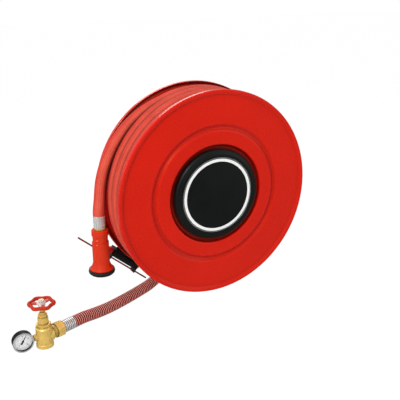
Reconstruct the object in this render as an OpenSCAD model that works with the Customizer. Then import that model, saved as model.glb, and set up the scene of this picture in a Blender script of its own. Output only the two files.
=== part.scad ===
// Wall-mounted fire hose reel with its feed hose, stop valve, gauge and nozzle.
// Millimetres. The wall is the plane Y = 0, the drum turns about the Y axis and faces -Y, Z is up.
// The origin is the centre of the wall plate, on the drum's axis.

/* [Drum] */
// Outer radius of both flanges
flange_r = 300; // [290:1:320]
// Width of the drum over its two rims
drum_w = 178; // [170:1:190]
// Gap between the drum's rear rim and the wall
wall_gap = 100; // [100:1:130]
// Thickness of the flange sheet
sheet_t = 2; // [1.5:0.5:3]
// How far the rim stands in front of the flat of the flange
rim_h = 5; // [4:0.5:7]
// Depth of the rim's rolled edge
rim_depth = 12; // [10:1:16]
// Radial width of the rim
rim_w = 16; // [14:1:20]
// Middle radius of the pressed stiffening groove
groove_r = 195; // [190:1:205]
// Half width of the stiffening groove
groove_w = 12; // [8:1:14]
// Depth of the stiffening groove
groove_d = 6; // [3:0.5:8]
// Radius of the well in the middle of a flange
well_r = 147; // [144:1:155]
// Depth of the well below the flat of the flange
well_d = 12; // [8:1:14]
// Outer radius of the core tube that the hose is wound on
core_r = 110; // [100:1:120]

/* [Hub] */
// Radius of the fixed water axle
axle_r = 20; // [18:1:22]
// Radius of the axle's water way
axle_bore_r = 13; // [11:1:14]
// Radial wall of the plain bushes
bush_wall = 4; // [3:0.5:6]
// Length of each bush
bush_l = 24; // [18:1:28]
// Outer radius of the hub tube
hub_r = 34; // [32:1:38]
// Radius of the hub's end plates
hub_plate_r = 76; // [74:1:84]
// Thickness of the hub's end plates
hub_plate_t = 5; // [4:1:8]
// Circle radius of the tie bolts
tie_pcr = 62; // [60:1:66]
// Number of tie bolts
tie_n = 6; // [4:1:8]
// Radius of the tie bolts
tie_r = 4; // [3:0.5:5]
// Ring of well floor left between the hub cap and the side of the well
cap_gap = 15; // [11:1:25]
// How far the cap's face stands in front of the rim
cap_proud = 2; // [0:1:8]
// Wall of the hub cap
cap_t = 3; // [2:0.5:4]
// Distance from the cap's edge in to the pale ring
ring_in = 25; // [22:1:37]
// Width of the pale ring
ring_w = 8; // [5:1:10]

/* [Hose] */
// Outer radius of the delivery hose
hose_r = 17; // [15:0.5:18]
// Middle radius of the outer layer of turns
wind_r = 277; // [268:1:279]
// Gap between neighbouring turns
turn_gap = 1.5; // [0.5:0.1:2]
// Whole turns in the outer layer
turns = 3.6; // [2.6:1:3.6]
// Where the hanging end of the hose stops, below the drum's axis
tail_drop = 43; // [40:1:60]
// How far the hanging end lies in front of the rearmost turn
tail_lean = 15; // [0:1:18]

/* [Nozzle] */
// Length of the crimped ferrule on the hose
ferrule_l = 36; // [30:1:42]
// Outer radius of the nozzle's collar and barrel
nozzle_r = 24; // [22:0.5:26]
// Height of the nozzle's fixed collar
collar_h = 22; // [18:1:26]
// Height of the neck between the collar and the barrel
neck_h = 15; // [10:1:18]
// Height of the turning barrel without its flare
barrel_h = 70; // [60:1:75]
// Height of the barrel's flared foot
flare_h = 15; // [12:1:18]
// Radius of the flared foot
flare_r = 34; // [32:1:37]
// Outer radius of the rubber bumper
bumper_r = 38; // [36:1:41]
// Height of the rubber bumper
bumper_h = 14; // [12:1:18]

/* [Wall bracket] */
// Width of the wall plate
plate_w = 160; // [150:1:180]
// Height of the wall plate
plate_h = 200; // [190:1:220]
// Thickness of the wall plate
plate_t = 5; // [4:1:8]
// Spacing of the wall holes across
holes_x = 120; // [110:1:128]
// Spacing of the wall holes up
holes_z = 160; // [150:1:170]
// Radius of the wall holes
hole_r = 5.5; // [4.5:0.5:6.5]
// Width inside the bracket's cheeks
cheek_in = 84; // [78:1:88]
// Thickness of the bracket's sheet
cheek_t = 4; // [3:1:5]
// Height of the bracket's cheeks
cheek_h = 120; // [110:1:130]
// How far the bracket's head stands off the wall
head_y = 77; // [75:1:82]

/* [Hose guide] */
// Direction from the drum's axis to the guide, in degrees
guide_dir = 229.6; // [222:1:235]
// Radius of the guide roller
roller_r = 13; // [11:0.5:15]
// Length of the guide roller
roller_l = 93; // [80:1:100]
// Distance of the roller's axis from the drum's axis
roller_at = 313; // [306:1:320]
// Radius of the thin guide rod
rod_r = 2.5; // [2:0.5:3]
// Gap between the roller and the thin rod
rod_gap = 2.5; // [2:0.5:4]
// Radius of the roller's ball end
ball_r = 11; // [9:0.5:13]

/* [Feed hose] */
// Radius of the feed hose over its ribs
feed_r = 17.5; // [17:0.5:20]
// Depth of the ribs
rib_d = 1.6; // [1:0.2:2]
// Bore radius of the feed hose
feed_bore = 13; // [11:0.5:14]
// Number of ribs along the feed hose
rib_n = 104; // [60:1:140]
// Length of the crimped ferrules on the feed hose
feed_ferrule_l = 36; // [30:1:50]

/* [Valve] */
// Distance of the valve to the left of the drum's axis
valve_x = 510; // [490:1:530]
// Distance of the valve in front of the wall
valve_y = 216; // [200:1:225]
// Height of the valve's outlet below the drum's axis
outlet_z = 343; // [335:1:355]
// Outer radius of the valve's body
valve_r = 22.5; // [21.5:0.5:26]
// Depth of the body below the outlet's axis
valve_low = 30; // [29:1:34]
// Height of the body above the outlet's axis
valve_up = 32; // [31:1:38]
// Radius of the threaded inlet
inlet_r = 15.15; // [13:0.05:17]
// Depth of the threaded inlet
inlet_l = 14; // [12:1:16]
// Outer radius of the bonnet
bonnet_r = 14.5; // [13.5:0.5:17]
// Height of the bonnet
bonnet_h = 29; // [24:1:32]
// Height of the gland nut
gland_h = 13; // [10:1:15]
// Radius of the valve stem
stem_r = 6; // [5:0.5:7]
// Height of the handwheel above the outlet's axis
wheel_z = 99; // [97:1:104]
// Middle radius of the handwheel's ring
wheel_r = 31.5; // [30:0.5:36]
// How far the wheel's lobes stand out and in
lobe = 2.5; // [2:0.5:4]
// Number of lobes on the handwheel
lobes = 6; // [5:1:7]
// Half the radial width of the handwheel's ring
wheel_t = 4.5; // [4:0.5:6]
// Half the height of the handwheel's ring
wheel_h = 6; // [4:0.5:7]
// Across-corners radius of the hex union nut
union_r = 24; // [22:0.5:25]
// Length of the union nut
union_l = 22; // [20:1:28]
// Length of the valve's threaded outlet
port_l = 20; // [14:1:24]

/* [Gauge] */
// Outer radius of the gauge
gauge_r = 29; // [27:0.5:33]
// Depth of the gauge case
gauge_d = 26; // [24:1:32]
// Distance from the valve's axis to the gauge's centre
gauge_x = 60; // [59:1:70]
// Height of the gauge below the outlet's axis
gauge_z = 0; // [-3:1:4]
// Radius of the brass stub that carries the gauge
stub_r = 7; // [6:0.5:8]

/* [Hidden] */

cap_r = well_r - cap_gap;  // radius of the hub cap
ring_r = cap_r - ring_in;  // outer radius of the pale ring
$fn = 64;
fine = 120;        // sides of the largest rings
run_gap = 0.05;    // radial clearance of a running fit
loose = 0.3;       // clearance of pieces that move past each other
eps = 0.01;

front_y = -(wall_gap + drum_w);     // plane of the front rim
flat_y = rim_h;                     // front face of a flange's flat, behind its rim
floor_y = flat_y + well_d;          // front face of the well's floor
hub_from = floor_y + sheet_t;       // the hub's end plates lie against the floors
hub_to = drum_w - hub_from;
hub_bore_r = axle_r + bush_wall;

// Lanes of the outer layer, counted from the rear, measured from the front rim
lane_pitch = 2 * hose_r + turn_gap;
lane_front = flat_y + sheet_t + 3 + hose_r;
lane_rear = lane_front + 3 * lane_pitch;
tail_gap = 4;
tail_x = -(wind_r + 2 * hose_r + tail_gap);
tail_y = front_y + lane_rear - tail_lean;

steel_red = "#c8201c";
hose_red = "#d2503e";
brass = "#c9a24a";
steel = "#b8babd";

// ---------------------------------------------------------------- helpers

// Turns local +Z to world +Y, starting at y
module along_y(y) { translate([0, y, 0]) rotate([-90, 0, 0]) children(); }

module tube(ro, ri, h, n = $fn) {
    difference() {
        cylinder(r = ro, h = h, $fn = n);
        translate([0, 0, -1]) cylinder(r = ri, h = h + 2, $fn = n);
    }
}

module ring_of(n, r, start = 0) {
    for (i = [0 : n - 1]) rotate([0, 0, start + i * 360 / n]) translate([r, 0, 0]) children();
}

module hex(r, h) { cylinder(r = r, h = h, $fn = 6); }

// Triangles of a closed skin over equal rings of points
function side_faces(rings, sides, flip = false) = [
    for (i = [0 : rings - 2], j = [0 : sides - 1], k = [0, 1])
        let (a = i * sides + j, b = i * sides + (j + 1) % sides, c = a + sides, d = b + sides)
        flip ? (k == 0 ? [a, b, d] : [a, d, c]) : (k == 0 ? [a, d, b] : [a, c, d])
];
function cap_faces(first, sides, flip = false) = [
    for (j = [1 : sides - 2]) flip ? [first, first + j + 1, first + j] : [first, first + j, first + j + 1]
];
module skin(rings) {
    sides = len(rings[0]);
    n = len(rings);
    polyhedron(
        points = [for (r = rings, p = r) p],
        faces = concat(side_faces(n, sides), cap_faces(0, sides), cap_faces((n - 1) * sides, sides, true)),
        convexity = 10
    );
}

// ---------------------------------------------------------------- drum

// Section of a pressed flange: radius against depth behind the rim, front skin then rear skin
groove_steps = 6;
function groove_line(side) = [
    for (i = [0 : groove_steps])
        let (t = i / groove_steps)
        [groove_r + groove_w - 2 * groove_w * t, flat_y + side + groove_d * pow(sin(180 * t), 2)]
];
module flange_section(bore) {
    polygon(concat(
        [
            [flange_r - 1, rim_depth], [flange_r, rim_depth - 1], [flange_r, 3],
            [flange_r - 1, 1], [flange_r - 3.5, 0], [flange_r - 7, 0], [flange_r - 10, 1],
            [flange_r - rim_w, flat_y]
        ],
        groove_line(0),
        [
            [well_r + 3, flat_y], [well_r, flat_y + 1.5], [well_r - 4, floor_y - 2],
            [well_r - 7, floor_y], [bore, floor_y], [bore, floor_y + sheet_t],
            [well_r - 6, floor_y + sheet_t], [well_r - 2, floor_y - 1],
            [well_r + 2, flat_y + sheet_t + 1], [well_r + 5, flat_y + sheet_t]
        ],
        [for (i = [groove_steps : -1 : 0]) groove_line(sheet_t)[i]],
        [
            [flange_r - rim_w + 1, flat_y + sheet_t], [flange_r - 9, sheet_t + 1.2],
            [flange_r - 6.5, sheet_t], [flange_r - 4, sheet_t], [flange_r - sheet_t, 4],
            [flange_r - sheet_t, rim_depth]
        ]
    ));
}
module flange() {
    difference() {
        rotate_extrude($fn = fine) flange_section(hub_bore_r);
        translate([0, 0, floor_y - 1]) ring_of(tie_n, tie_pcr)
            cylinder(r = tie_r + loose, h = sheet_t + 2, $fn = 24);
    }
}
module front_flange() { color(steel_red) along_y(front_y) flange(); }
module rear_flange() {
    color(steel_red) translate([0, front_y + drum_w, 0]) mirror([0, 1, 0]) rotate([-90, 0, 0]) flange();
}
module drum_core() {
    color(steel_red) along_y(front_y + hub_from) difference() {
        tube(core_r, core_r - sheet_t, hub_to - hub_from, 96);
        translate([0, 0, (hub_to - hub_from) / 2]) rotate([90, 0, 0])
            cylinder(r = outlet_r + loose, h = core_r + 5, $fn = 32);
    }
}

outlet_r = 14;
seal_in = bush_l + 3;
module hub_body() {
    l = hub_to - hub_from;
    color("#8d9196") along_y(front_y + hub_from) difference() {
        union() {
            cylinder(r = hub_r, h = l);
            cylinder(r = hub_plate_r, h = hub_plate_t, $fn = 96);
            translate([0, 0, l - hub_plate_t]) cylinder(r = hub_plate_r, h = hub_plate_t, $fn = 96);
        }
        translate([0, 0, -1]) cylinder(r = hub_bore_r, h = l + 2);
        translate([0, 0, -1]) ring_of(tie_n, tie_pcr) cylinder(r = tie_r + loose, h = l + 2, $fn = 24);
        translate([0, 0, l / 2]) rotate([90, 0, 0]) cylinder(r = outlet_r + eps, h = hub_r + 5, $fn = 32);
    }
}
// Brass outlet, screwed into the hub, that carries the water through the core to the hose
module hub_outlet() {
    from = hub_bore_r + 2;
    to = sqrt(core_r * core_r - outlet_r * outlet_r) - loose;
    color(brass) along_y(front_y + drum_w / 2) rotate([90, 0, 0]) difference() {
        union() {
            translate([0, 0, from]) cylinder(r = outlet_r, h = to - from, $fn = 32);
            translate([0, 0, hub_r + eps]) hex(outlet_r + 4, 14);
        }
        cylinder(r = outlet_r - 4, h = core_r, $fn = 32);
    }
}
module bush() { tube(hub_bore_r, axle_r + run_gap, bush_l); }
module bush_front() { color("#e8e4d6") along_y(front_y + hub_from) bush(); }
module bush_rear() { color("#e8e4d6") along_y(front_y + hub_to - bush_l) bush(); }
module hub_seals() {
    color("#202020") for (z = [hub_from + seal_in, hub_to - seal_in]) along_y(front_y + z)
        rotate_extrude() translate([(axle_r + run_gap + hub_bore_r) / 2, 0])
            square([bush_wall - run_gap, 3.2], center = true);
}

bolt_head = 5;
module tie_bolts() {
    color(steel) along_y(front_y + floor_y) ring_of(tie_n, tie_pcr) {
        translate([0, 0, -bolt_head]) hex(tie_r * 1.8, bolt_head);
        translate([0, 0, -1]) cylinder(r = tie_r, h = drum_w - 2 * floor_y + 10, $fn = 24);
    }
}
module tie_nuts() {
    color(steel) along_y(front_y + drum_w - floor_y) ring_of(tie_n, tie_pcr) difference() {
        hex(tie_r * 1.8, 7);
        translate([0, 0, -1]) cylinder(r = tie_r + eps, h = 9, $fn = 24);
    }
}

// Shallow moulded cap that covers the hub and stands in the front well
cap_h = floor_y + cap_proud;
module hub_cap() {
    color("#161a19") along_y(front_y - cap_proud) rotate_extrude($fn = fine) polygon([
        [0, 1.2], [ring_r + 4, 1.2], [ring_r + 5, 0], [ring_r + 12, 0], [cap_r - 3, 3],
        [cap_r, 7], [cap_r, cap_h], [cap_r - cap_t, cap_h], [cap_r - cap_t, 8],
        [ring_r + 11, cap_t], [ring_r + 3, cap_t + 1.2], [0, cap_t + 1.2]
    ]);
}
module cap_ring() {
    color("#f4f4f2") along_y(front_y - cap_proud + 0.4) tube(ring_r, ring_r - ring_w, 0.8, fine);
}

// ---------------------------------------------------------------- delivery hose

loop_rings = 24;
loop_sides = 6;
// Turns below the outer layer, as one plain body
core_top = (wind_r - hose_r * cos(30)) * cos(180 / loop_rings) - loose;
groove_back = flat_y + sheet_t + groove_d;
module hose_core() {
    from = groove_back + loose;
    to = drum_w - groove_back - loose;
    color(hose_red) along_y(front_y) rotate_extrude($fn = 96)
        polygon([
            [core_r + eps, floor_y + sheet_t + loose], [well_r - 5, floor_y + sheet_t + loose],
            [well_r + 5, from],
            [core_top - 4, from], [core_top, from + 4], [core_top, to - 4], [core_top - 4, to],
            [well_r + 5, to], [well_r - 5, drum_w - floor_y - sheet_t - loose],
            [core_r + eps, drum_w - floor_y - sheet_t - loose]
        ]);
}

// The outer layer: one unbroken tube that keeps to a lane and steps over at the bottom of each turn
step_half = 30;      // half the angle over which the hose steps to the next lane
wind_end = 176;      // where the turns stop and the hanging end begins
first_step = wind_end + 90;
function ease(t) = t < 0 ? 0 : t > 1 ? 1 : t * t * (3 - 2 * t);
function lane_at(back) =
    let (steps = [for (m = [0 : 2]) ease((back - first_step - 360 * m) / (2 * step_half) + 0.5)])
    lane_rear - lane_pitch * (steps * [1, 1, 1]);
function wind_angle(back) = wind_end - back;
function wind_point(back) = [
    wind_r * cos(wind_angle(back)), front_y + lane_at(back), wind_r * sin(wind_angle(back))
];
wind_rings = round(turns * loop_rings);
wind_step = 360 / loop_rings;
function wind_ring(i) =
    let (back = i * wind_step, a = wind_angle(back), p = wind_point(back))
    [for (j = [0 : loop_sides - 1])
        let (b = 30 + j * 360 / loop_sides)
        p + hose_r * (cos(b) * [cos(a), 0, sin(a)] + sin(b) * [0, 1, 0])];
wind_rows = [for (i = [0 : wind_rings]) wind_ring(i)];
// Least distance between points of the tube that are about a whole turn apart
self_gap = min([
    for (i = [0 : wind_rings - loop_rings + 3], k = [loop_rings - 3 : loop_rings + 3])
        if (i + k <= wind_rings)
            for (p = wind_rows[i], q = wind_rows[i + k]) norm(p - q)
]);
echo(least_self_gap = self_gap);
module hose_winding() { color(hose_red) skin(wind_rows); }

// The hanging end lifts off the turns on the left and drops straight down, clear of the drum's sweep
tail_from = 110;     // direction in which it begins to lift
// Share of the lift at even steps from there down to the level of the axis, then below it
tail_lift = [0, 0.1, 0.28, 0.46, 0.57, 0.68, 0.77, 0.86];
tail_low_lift = 0.94;
tail_out = -tail_x - wind_r;
function tail_point(x, z, share) = [x, front_y + lane_rear - share * tail_lean, z];
function tail_turn(i) =
    let (a = tail_from + i * (180 - tail_from) / (len(tail_lift) - 1), r = wind_r + tail_lift[i] * tail_out)
    tail_point(r * cos(a), r * sin(a), tail_lift[i]);
tail_pts = concat(
    [for (i = [0 : len(tail_lift) - 1]) tail_turn(i)],
    [
        tail_point(-wind_r - tail_low_lift * tail_out, -0.4 * tail_drop, tail_low_lift),
        tail_point(tail_x, -tail_drop, 1)
    ]
);
tail_sides = 10;
function path_dir(pts, i) =
    let (a = pts[max(i - 1, 0)], b = pts[min(i + 1, len(pts) - 1)]) (b - a) / norm(b - a);
module hose_tail() {
    rows = [for (i = [0 : len(tail_pts) - 1])
        let (
            t = i < len(tail_pts) - 1 ? path_dir(tail_pts, i) : [0, 0, -1],
            n = cross(t, [0, 1, 0]) / norm(cross(t, [0, 1, 0])),
            m = cross(n, t)
        )
        [for (j = [0 : tail_sides - 1])
            let (b = j * 360 / tail_sides) tail_pts[i] + hose_r * (cos(b) * n + sin(b) * m)]];
    color(hose_red) difference() {
        skin(rows);
        along_y(front_y - 1)
            cylinder(r = wind_r + hose_r * cos(30) + loose, h = drum_w + 2, $fn = fine);
    }
}

// ---------------------------------------------------------------- nozzle

ferrule_z = -tail_drop;
tail_end = ferrule_z - ferrule_l;
seat_h = 6;                               // brass collar between the ferrule and the nozzle
nozzle_top = tail_end - seat_h;
neck_top = nozzle_top - collar_h;
barrel_top = neck_top - neck_h;
barrel_low = barrel_top - barrel_h;
flare_low = barrel_low - flare_h;
spigot_r = 12.5;
socket_r = 15;
pipe_r = 17;                              // fixed tube that the barrel turns on
water_r = 9;
module at_tail(z) { translate([tail_x, tail_y, z]) children(); }

module hose_ferrule() {
    color(steel) at_tail(tail_end) difference() {
        union() {
            cylinder(r = hose_r - 0.6, h = ferrule_l);
            for (z = [6, 14, 22, 30]) translate([0, 0, z]) cylinder(r = hose_r, h = 3);
        }
        translate([0, 0, -1]) cylinder(r = spigot_r + eps, h = ferrule_l + 2);
    }
}
module nozzle_tail() {
    color(brass) at_tail(0) difference() {
        union() {
            translate([0, 0, tail_end]) cylinder(r = spigot_r, h = ferrule_l - 4);
            translate([0, 0, nozzle_top]) cylinder(r = hose_r - 0.4, h = seat_h);
            translate([0, 0, nozzle_top - 14]) cylinder(r = socket_r, h = 14);
        }
        translate([0, 0, nozzle_top - 20]) cylinder(r = water_r, h = 80);
    }
}
module nozzle_seal() {
    color("#202020") at_tail(nozzle_top - 16) tube(socket_r - 0.5, water_r + 1, 2);
}
module nozzle_body() {
    color("#d8351f") at_tail(0) difference() {
        rotate_extrude() polygon([
            [0, nozzle_top], [nozzle_r - 3, nozzle_top], [nozzle_r, nozzle_top - 3],
            [nozzle_r, neck_top + 4], [nozzle_r - 2, neck_top + 1], [nozzle_r - 2.6, barrel_top + 4],
            [nozzle_r - 1.6, barrel_top + loose], [pipe_r, barrel_top + loose],
            [pipe_r, barrel_low + 6], [pipe_r - 3, barrel_low + 3], [0, barrel_low + 3]
        ]);
        translate([0, 0, nozzle_top - 16]) cylinder(r = socket_r, h = 20);
        translate([0, 0, barrel_low]) cylinder(r = water_r, h = 140);
    }
}
module nozzle_barrel() {
    color("#dd3a20") at_tail(0) difference() {
        rotate_extrude() polygon([
            [0, barrel_top], [nozzle_r - 2, barrel_top], [nozzle_r, barrel_top - 2],
            [nozzle_r, barrel_low + 6], [nozzle_r + 1.5, barrel_low + 1],
            [nozzle_r + 5, barrel_low - flare_h * 0.5], [flare_r, flare_low + 2],
            [flare_r, flare_low], [0, flare_low]
        ]);
        translate([0, 0, barrel_low]) cylinder(r = pipe_r + run_gap, h = barrel_h + 2);
        translate([0, 0, flare_low - 1]) cylinder(r = water_r + 1, h = flare_h + 3);
        translate([0, 0, flare_low - eps]) cylinder(r1 = 20, r2 = water_r + 1, h = 10);
    }
}
module nozzle_bumper() {
    color("#15171a") at_tail(flare_low - bumper_h) rotate_extrude() polygon([
        [24, 3], [27, 0], [bumper_r - 5, 0], [bumper_r - 1, 4], [bumper_r, bumper_h * 0.6],
        [bumper_r - 1.5, bumper_h], [24, bumper_h]
    ]);
}

// ---------------------------------------------------------------- wall bracket

head_t = 5;
rear_rim = -wall_gap;
module wall_plate() {
    color(steel_red) along_y(-plate_t) difference() {
        translate([-plate_w / 2, -plate_h / 2, 0]) cube([plate_w, plate_h, plate_t]);
        for (x = [-1, 1], z = [-1, 1]) translate([x * holes_x / 2, z * holes_z / 2, -1])
            cylinder(r = hole_r, h = plate_t + 2, $fn = 32);
    }
}
module bracket() {
    half = cheek_in / 2 + cheek_t;
    color(steel_red) difference() {
        union() {
            for (s = [-1, 1]) translate([s * (cheek_in + cheek_t) / 2, 0, 0])
                rotate([90, 0, 90]) translate([0, 0, -cheek_t / 2]) linear_extrude(cheek_t)
                    polygon([
                        [-plate_t, -cheek_h / 2], [-plate_t, cheek_h / 2],
                        [-head_y, cheek_h / 2 - 16], [-head_y, 16 - cheek_h / 2]
                    ]);
            translate([-half, -head_y, 16 - cheek_h / 2]) cube([2 * half, head_t, cheek_h - 32]);
        }
        along_y(-head_y - 1) cylinder(r = axle_r + eps, h = head_t + 2);
        along_y(-head_y - 1) ring_of(4, axle_pcr, 45)
            cylinder(r = screw_r + 0.1, h = head_t + 2, $fn = 24);
    }
}

axle_flange_t = 8;
axle_flange_r = 42;
axle_pcr = 33;                             // circle of the four screws that hold the axle
screw_r = 3.2;
screw_head = 5;
axle_front = front_y + hub_from - 6;       // the axle ends inside the cap
elbow_y = -40;                             // the elbow's vertical leg
clip_t = 2;
module axle() {
    rear = -head_y + head_t + 4;
    port_y = front_y + drum_w / 2;
    color("#9aa0a6") difference() {
        union() {
            along_y(axle_front) cylinder(r = axle_r, h = rear - axle_front);
            along_y(-head_y - axle_flange_t) cylinder(r = axle_flange_r, h = axle_flange_t);
        }
        along_y(axle_front + 12) cylinder(r = axle_bore_r, h = 300);
        along_y(-head_y - axle_flange_t - 1) ring_of(4, axle_pcr, 45)
            cylinder(r = screw_r + 0.1, h = axle_flange_t + 2, $fn = 24);
        along_y(axle_front + 2) tube(axle_r + 2, axle_r - 1.5, clip_t + 0.1);
        translate([0, port_y, 0]) cylinder(r = 7, h = 60, center = true, $fn = 32);
        translate([0, port_y, 0]) rotate([0, 90, 0]) cylinder(r = 7, h = 60, center = true, $fn = 32);
    }
}
module axle_screws() {
    color(steel) along_y(-head_y - axle_flange_t) ring_of(4, axle_pcr, 45) {
        translate([0, 0, -screw_head]) hex(screw_r * 1.8, screw_head);
        cylinder(r = screw_r, h = axle_flange_t + head_t, $fn = 24);
        translate([0, 0, axle_flange_t + head_t]) hex(screw_r * 1.8, screw_head);
    }
}
module axle_circlip() {
    color(steel) along_y(axle_front + 2) difference() {
        tube(axle_r + 3.5, axle_r - 1.4, clip_t);
        translate([0, -5, -1]) cube([60, 10, clip_t + 2]);
    }
}
module axle_washer() {
    color("#c8c9cc") along_y(front_y + hub_from - 1.7)
        tube(axle_r + 3.2, axle_r + run_gap, 1.4);
}

leg_low = 50;                              // bottom of the elbow's vertical leg
module inlet_elbow() {
    rear = -head_y + head_t;
    color(brass) difference() {
        union() {
            along_y(rear) cylinder(r = axle_r + 5, h = elbow_y - rear);
            translate([0, elbow_y, 0]) sphere(r = 22);
            translate([0, elbow_y, -leg_low]) cylinder(r = 20, h = leg_low);
            translate([0, elbow_y, -leg_low]) hex(25, 12);
        }
        along_y(rear - 1) cylinder(r = axle_r + eps, h = 5);
        along_y(rear - 1) cylinder(r = axle_bore_r, h = elbow_y - rear + 1);
        translate([0, elbow_y, -leg_low - 1]) cylinder(r = axle_bore_r, h = leg_low + 1);
    }
}

// ---------------------------------------------------------------- hose guide

guide_y = rear_rim + roller_r + 1;         // the guide runs just behind the rear rim
ear_t = 4;
ear_left = -62;                            // places along the roller, towards the lower right
ear_right = ear_left + roller_l + 2 * loose;
rod_at = roller_at + roller_r + rod_gap + rod_r;
rod_left = -187;
rod_right = 88;
// Local x runs along the roller, local y outwards from the drum's axis
module at_guide() {
    translate([0, guide_y, 0]) rotate([0, -guide_dir, 0]) rotate([90, 0, 0]) rotate([0, 0, -90])
        mirror([1, 0, 0]) children();
}
// Undoes at_guide, so that the arm is cut off flat at the cheek it is welded to
module at_world() {
    mirror([1, 0, 0]) rotate([0, 0, 90]) rotate([-90, 0, 0]) rotate([0, guide_dir, 0])
        translate([0, -guide_y, 0]) children();
}
module along_guide(s, r) { at_guide() translate([s, r, 0]) rotate([0, 90, 0]) children(); }
module guide_arm() {
    back = 18;                             // the arm lies this far behind the roller's axis
    arm_t = 5;
    arm_w = 44;
    arm_left = -48;
    color("#2a2a2c") at_guide() difference() {
        union() {
            for (s = [ear_left - ear_t, ear_right])
                translate([s, roller_at - 14, -back]) cube([ear_t, rod_at + 5 - roller_at + 14, back + 10]);
            translate([ear_left - ear_t, roller_at - 14, -back - arm_t])
                cube([ear_right - ear_left + 2 * ear_t, 22, arm_t]);
            translate([arm_left, 20, -back - arm_t]) cube([arm_w, roller_at - 20, arm_t]);
        }
        at_world() translate([-cheek_in / 2 - cheek_t, -200, -200]) cube(400);
        translate([ear_left - 20, roller_at, 0]) rotate([0, 90, 0])
            cylinder(r = pin_r + run_gap, h = roller_l + 60, $fn = 32);
        translate([ear_left - 20, rod_at, 0]) rotate([0, 90, 0])
            cylinder(r = rod_r + eps, h = roller_l + 60, $fn = 32);
    }
}
pin_r = 5;
module guide_rod() {
    color("#8c2a1e") along_guide(rod_left, rod_at) cylinder(r = rod_r, h = rod_right - rod_left, $fn = 32);
}
module roller_pin() {
    color(steel) along_guide(ear_left - ear_t, roller_at) {
        cylinder(r = pin_r, h = roller_l + 2 * ear_t + 3, $fn = 32);
        translate([0, 0, roller_l + 2 * ear_t + 2 * loose]) hex(8, 5);
    }
}
module guide_roller() {
    color("#121212") along_guide(ear_left + loose, roller_at)
        rotate_extrude() polygon([
            [pin_r + run_gap, 0], [roller_r - 2, 0], [roller_r, 2], [roller_r, roller_l - 2],
            [roller_r - 2, roller_l], [pin_r + run_gap, roller_l]
        ]);
}
module roller_ball() {
    color("#c4161c") along_guide(ear_left - ear_t - ball_r + 1, roller_at) intersection() {
        sphere(r = ball_r);
        translate([0, 0, -ball_r]) cylinder(r = ball_r, h = 2 * ball_r - 1);
    }
}

// ---------------------------------------------------------------- feed hose

valve_at = [-valve_x, -valve_y];
feed_run = norm([valve_x, valve_y + elbow_y]);         // level distance from elbow to valve
feed_dir = [-valve_x, -valve_y - elbow_y] / feed_run;  // level direction from elbow to valve
feed_side = [-feed_dir[1], feed_dir[0], 0];
feed_top = leg_low + feed_ferrule_l;
port_end = feed_run - valve_r - port_l;                  // face of the valve's outlet
feed_end = port_end - union_l + 4 - feed_ferrule_l;
// Route of the hose: level distance from the elbow against height
feed_route = [
    [0, -98], [0, -118], [0, -138], [4, -190], [20, -241], [50, -284], [88, -316],
    [130, -335], [182, -344], [236, -350], [290, -353], [335, -351], [375, -347], [410, -347]
];
feed_pts = [for (p = feed_route)
    [p[0] * feed_end / 410,
        p[1] + (98 - feed_top) * max(0, (p[1] + 300) / 202) + (347 - outlet_z) * ease(p[0] / 360)]];
feed_cum = [for (i = 0, s = 0; i < len(feed_pts);
    s = s + (i + 1 < len(feed_pts) ? norm(feed_pts[i + 1] - feed_pts[i]) : 0), i = i + 1) s];
feed_len = feed_cum[len(feed_pts) - 1];
function feed_seg(s, i = 0) = (i >= len(feed_pts) - 2 || s <= feed_cum[i + 1]) ? i : feed_seg(s, i + 1);
// Point of the smooth route at distance s along its chords
function feed_at(s) =
    let (
        i = feed_seg(s),
        t = (s - feed_cum[i]) / (feed_cum[i + 1] - feed_cum[i]),
        a = feed_pts[i], b = feed_pts[i + 1],
        h = feed_cum[i + 1] - feed_cum[i],
        ma = feed_slope(i) * h, mb = feed_slope(i + 1) * h
    )
    (2 * t * t * t - 3 * t * t + 1) * a + (t * t * t - 2 * t * t + t) * ma
    + (3 * t * t - 2 * t * t * t) * b + (t * t * t - t * t) * mb;
function feed_slope(i) =
    let (n = len(feed_pts) - 1, a = max(i - 1, 0), b = min(i + 1, n))
    (feed_pts[b] - feed_pts[a]) / norm(feed_pts[b] - feed_pts[a]);
function feed_ring(s, r, sides) =
    let (
        p = feed_at(s), d = feed_at(min(s + 1, feed_len)) - feed_at(max(s - 1, 0)),
        t = d / norm(d), up = [-t[1], t[0]]
    )
    [for (j = [0 : sides - 1])
        let (b = j * 360 / sides, u = cos(b) * r, v = sin(b) * r)
        [
            (p[0] + u * up[0]) * feed_dir[0] + v * feed_side[0],
            elbow_y + (p[0] + u * up[0]) * feed_dir[1] + v * feed_side[1],
            p[1] + u * up[1]
        ]];
feed_sides = 8;
rib_p = feed_len / rib_n;
module feed_hose() {
    outer = [for (i = [0 : 2 * rib_n])
        feed_ring(i * rib_p / 2, feed_r - (i % 2 == 0 ? rib_d : 0), feed_sides)];
    bore_n = 30;
    inner = [for (i = [0 : bore_n]) feed_ring(i * feed_len / bore_n, feed_bore, feed_sides)];
    n = len(outer);
    m = len(inner);
    start = n * feed_sides;
    last = (n - 1) * feed_sides;
    inner_last = start + (m - 1) * feed_sides;
    ring_ends = [for (j = [0 : feed_sides - 1], k = [0, 1])
        let (q = (j + 1) % feed_sides)
        k == 0 ? [j, q, start + q] : [j, start + q, start + j]];
    ring_ends_far = [for (j = [0 : feed_sides - 1], k = [0, 1])
        let (q = (j + 1) % feed_sides)
        k == 0 ? [last + j, inner_last + q, last + q] : [last + j, inner_last + j, inner_last + q]];
    color("#b5352c") polyhedron(
        points = concat([for (r = outer, p = r) p], [for (r = inner, p = r) p]),
        faces = concat(
            side_faces(n, feed_sides),
            [for (f = side_faces(m, feed_sides, true)) f + [start, start, start]],
            ring_ends, ring_ends_far
        ),
        convexity = 10
    );
}
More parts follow.
